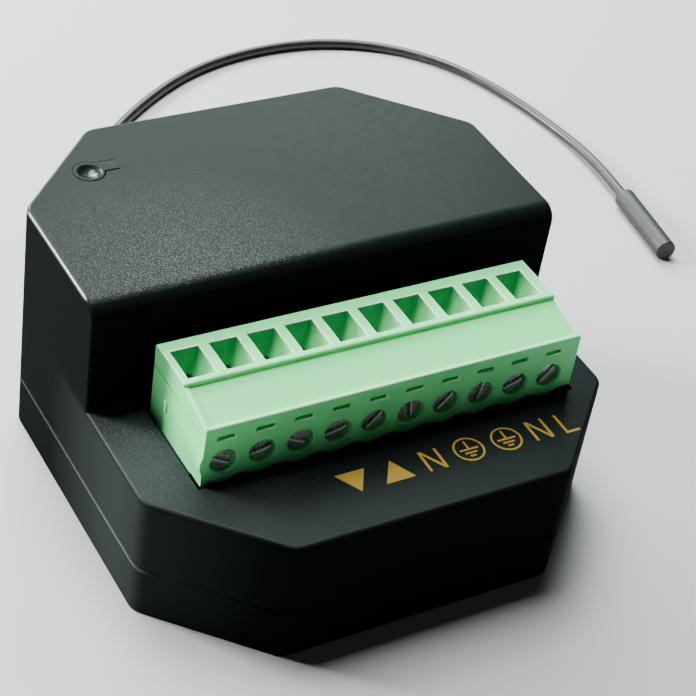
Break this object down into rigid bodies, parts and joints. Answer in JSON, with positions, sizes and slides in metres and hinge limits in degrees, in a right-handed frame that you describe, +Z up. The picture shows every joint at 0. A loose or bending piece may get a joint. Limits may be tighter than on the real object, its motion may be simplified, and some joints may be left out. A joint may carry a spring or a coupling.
{
  "type": "radio receiver module",
  "caption": "Black eight-sided flush-box radio receiver with a raised back, a green pluggable screw terminal block, a programming button and a wire antenna.",
  "frame": {"origin": "centre of the case's base", "axes": "+X along the row of terminals, screws face -Y, +Z up"},
  "size_m": [0.0836, 0.0939, 0.0255],
  "materials": {
    "case_black": "fine spark-eroded matt moulding",
    "terminal_green": "satin moulded polyamide",
    "header_green": "satin moulded polyamide",
    "screw_steel": "zinc-plated slotted screw",
    "cage_metal": "plated clamp cage",
    "contact_tin": "tin-plated contact",
    "board_green": "solder mask",
    "radio_green": "solder mask",
    "relay_case": "sealed relay case",
    "ferrite": "sintered ferrite",
    "winding_tape": "insulating tape",
    "film_case": "boxed film capacitor",
    "can_sleeve": "shrink sleeve",
    "fuse_case": "moulded fuse",
    "varistor_coat": "dipped coating",
    "crystal_can": "metal can",
    "chip_black": "moulded package",
    "switch_black": "moulded switch",
    "rod_white": "moulded rod",
    "rubber_black": "soft moulding",
    "wire_jacket": "flexible jacket"
  },
  "bodies": {
    "case": {"upper_cover": "case_black", "lower_shell": "case_black", "tact_switch": "switch_black", "header_housing": "header_green", "header_pins": "contact_tin", "circuit_board": "board_green", "relay_front": "relay_case", "relay_back": "relay_case", "transformer_core": "ferrite", "transformer_winding": "winding_tape", "filter_capacitor": "film_case", "smoothing_capacitor": "can_sleeve", "fuse": "fuse_case", "varistor": "varistor_coat", "radio_board": "radio_green", "radio_crystal": "crystal_can", "microcontroller": "chip_black", "antenna_lead": "wire_jacket", "antenna_grommet": "rubber_black", "antenna_wire": "wire_jacket", "antenna_cap": "rubber_black"},
    "button": {"program_button": "case_black"},
    "rod": {"push_rod": "rod_white", "switch_plunger": "switch_black"},
    "plug": {"terminal_plug": "terminal_green", "plug_contacts": "contact_tin"},
    "screw_01": {"terminal_screw_01": "screw_steel"},
    "cage_01": {"clamp_cage_01": "cage_metal"},
    "screw_02": {"terminal_screw_02": "screw_steel"},
    "cage_02": {"clamp_cage_02": "cage_metal"},
    "screw_03": {"terminal_screw_03": "screw_steel"},
    "cage_03": {"clamp_cage_03": "cage_metal"},
    "screw_04": {"terminal_screw_04": "screw_steel"},
    "cage_04": {"clamp_cage_04": "cage_metal"},
    "screw_05": {"terminal_screw_05": "screw_steel"},
    "cage_05": {"clamp_cage_05": "cage_metal"},
    "screw_06": {"terminal_screw_06": "screw_steel"},
    "cage_06": {"clamp_cage_06": "cage_metal"},
    "screw_07": {"terminal_screw_07": "screw_steel"},
    "cage_07": {"clamp_cage_07": "cage_metal"},
    "screw_08": {"terminal_screw_08": "screw_steel"},
    "cage_08": {"clamp_cage_08": "cage_metal"},
    "screw_09": {"terminal_screw_09": "screw_steel"},
    "cage_09": {"clamp_cage_09": "cage_metal"},
    "screw_10": {"terminal_screw_10": "screw_steel"},
    "cage_10": {"clamp_cage_10": "cage_metal"}
  },
  "joints": [
    {"name": "rod_push", "type": "slide", "parent": "case", "child": "rod", "axis": [0, 0, -1], "range_m": [0, 0.00025], "stiffness_N_per_m": 6700},
    {"name": "button_press", "type": "hinge", "parent": "case", "child": "button", "pos_m": [-0.0135, 0.01755, 0.0247], "axis": [0, -1, 0], "range_deg": [0, 4.8], "stiffness_Nm_per_rad": 0.000001, "springref_deg": -25.78},
    {"name": "plug_pull", "type": "slide", "parent": "case", "child": "plug", "axis": [0, 0, 1], "range_m": [0, 0.012]},
    {"name": "cage_draw_01", "type": "slide", "parent": "plug", "child": "cage_01", "axis": [0, -1, 0], "range_m": [0, 0.0012]},
    {"name": "screw_turn_01", "type": "hinge", "parent": "plug", "child": "screw_01", "pos_m": [-0.0167, -0.01342, 0.01595], "axis": [0, 1, 0], "range_deg": [0, 1080]},
    {"name": "cage_draw_02", "type": "slide", "parent": "plug", "child": "cage_02", "axis": [0, -1, 0], "range_m": [0, 0.0012]},
    {"name": "screw_turn_02", "type": "hinge", "parent": "plug", "child": "screw_02", "pos_m": [-0.01289, -0.01342, 0.01595], "axis": [0, 1, 0], "range_deg": [0, 1080]},
    {"name": "cage_draw_03", "type": "slide", "parent": "plug", "child": "cage_03", "axis": [0, -1, 0], "range_m": [0, 0.0012]},
    {"name": "screw_turn_03", "type": "hinge", "parent": "plug", "child": "screw_03", "pos_m": [-0.00908, -0.01342, 0.01595], "axis": [0, 1, 0], "range_deg": [0, 1080]},
    {"name": "cage_draw_04", "type": "slide", "parent": "plug", "child": "cage_04", "axis": [0, -1, 0], "range_m": [0, 0.0012]},
    {"name": "screw_turn_04", "type": "hinge", "parent": "plug", "child": "screw_04", "pos_m": [-0.00527, -0.01342, 0.01595], "axis": [0, 1, 0], "range_deg": [0, 1080]},
    {"name": "cage_draw_05", "type": "slide", "parent": "plug", "child": "cage_05", "axis": [0, -1, 0], "range_m": [0, 0.0012]},
    {"name": "screw_turn_05", "type": "hinge", "parent": "plug", "child": "screw_05", "pos_m": [-0.00146, -0.01342, 0.01595], "axis": [0, 1, 0], "range_deg": [0, 1080]},
    {"name": "cage_draw_06", "type": "slide", "parent": "plug", "child": "cage_06", "axis": [0, -1, 0], "range_m": [0, 0.0012]},
    {"name": "screw_turn_06", "type": "hinge", "parent": "plug", "child": "screw_06", "pos_m": [0.00235, -0.01342, 0.01595], "axis": [0, 1, 0], "range_deg": [0, 1080]},
    {"name": "cage_draw_07", "type": "slide", "parent": "plug", "child": "cage_07", "axis": [0, -1, 0], "range_m": [0, 0.0012]},
    {"name": "screw_turn_07", "type": "hinge", "parent": "plug", "child": "screw_07", "pos_m": [0.00616, -0.01342, 0.01595], "axis": [0, 1, 0], "range_deg": [0, 1080]},
    {"name": "cage_draw_08", "type": "slide", "parent": "plug", "child": "cage_08", "axis": [0, -1, 0], "range_m": [0, 0.0012]},
    {"name": "screw_turn_08", "type": "hinge", "parent": "plug", "child": "screw_08", "pos_m": [0.00997, -0.01342, 0.01595], "axis": [0, 1, 0], "range_deg": [0, 1080]},
    {"name": "cage_draw_09", "type": "slide", "parent": "plug", "child": "cage_09", "axis": [0, -1, 0], "range_m": [0, 0.0012]},
    {"name": "screw_turn_09", "type": "hinge", "parent": "plug", "child": "screw_09", "pos_m": [0.01378, -0.01342, 0.01595], "axis": [0, 1, 0], "range_deg": [0, 1080]},
    {"name": "cage_draw_10", "type": "slide", "parent": "plug", "child": "cage_10", "axis": [0, -1, 0], "range_m": [0, 0.0012]},
    {"name": "screw_turn_10", "type": "hinge", "parent": "plug", "child": "screw_10", "pos_m": [0.01759, -0.01342, 0.01595], "axis": [0, 1, 0], "range_deg": [0, 1080]}
  ],
  "couplings": [
    {"joint": "button_press", "follows": "rod_push", "rad_per_m": 333.33},
    {"joint": "screw_turn_01", "follows": "cage_draw_01", "rad_per_m": 15708},
    {"joint": "screw_turn_02", "follows": "cage_draw_02", "rad_per_m": 15708},
    {"joint": "screw_turn_03", "follows": "cage_draw_03", "rad_per_m": 15708},
    {"joint": "screw_turn_04", "follows": "cage_draw_04", "rad_per_m": 15708},
    {"joint": "screw_turn_05", "follows": "cage_draw_05", "rad_per_m": 15708},
    {"joint": "screw_turn_06", "follows": "cage_draw_06", "rad_per_m": 15708},
    {"joint": "screw_turn_07", "follows": "cage_draw_07", "rad_per_m": 15708},
    {"joint": "screw_turn_08", "follows": "cage_draw_08", "rad_per_m": 15708},
    {"joint": "screw_turn_09", "follows": "cage_draw_09", "rad_per_m": 15708},
    {"joint": "screw_turn_10", "follows": "cage_draw_10", "rad_per_m": 15708}
  ]
}
